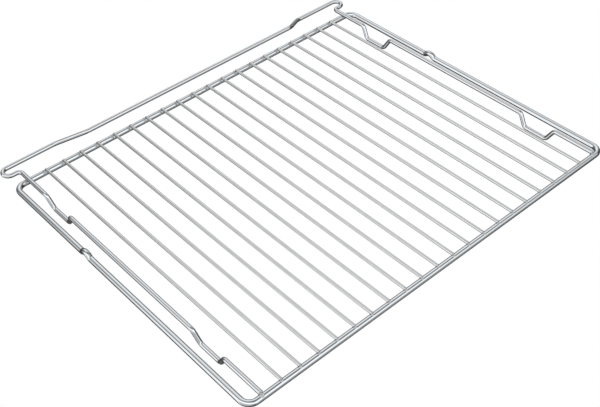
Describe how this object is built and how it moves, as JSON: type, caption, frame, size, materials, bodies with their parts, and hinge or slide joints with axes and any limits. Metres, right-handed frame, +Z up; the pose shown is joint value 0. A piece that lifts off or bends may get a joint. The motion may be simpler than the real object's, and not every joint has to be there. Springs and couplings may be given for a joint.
{
  "type": "oven shelf rack",
  "caption": "Bent-wire oven shelf rack: rounded outer frame, close parallel bars, side runners with feet, rear hooks and a raised rear stop.",
  "frame": {"origin": "middle of the rack's width and depth, on the surface that its four feet stand on", "axes": "+X to the right across the rack, +Y towards the oven's rear wall, +Z up"},
  "size_m": [0.455, 0.386, 0.03],
  "materials": {
    "frame_wire": "bright chrome-plated steel wire",
    "runner_wire": "bright chrome-plated steel wire",
    "bar_wire": "bright chrome-plated steel wire"
  },
  "bodies": {
    "root": {"frame": "frame_wire", "runner": "runner_wire", "bar_01": "bar_wire", "bar_02": "bar_wire", "bar_03": "bar_wire", "bar_04": "bar_wire", "bar_05": "bar_wire", "bar_06": "bar_wire", "bar_07": "bar_wire", "bar_08": "bar_wire", "bar_09": "bar_wire", "bar_10": "bar_wire", "bar_11": "bar_wire", "bar_12": "bar_wire", "bar_13": "bar_wire", "bar_14": "bar_wire", "bar_15": "bar_wire", "bar_16": "bar_wire", "bar_17": "bar_wire", "bar_18": "bar_wire", "bar_19": "bar_wire", "bar_20": "bar_wire"}
  },
  "joints": []
}
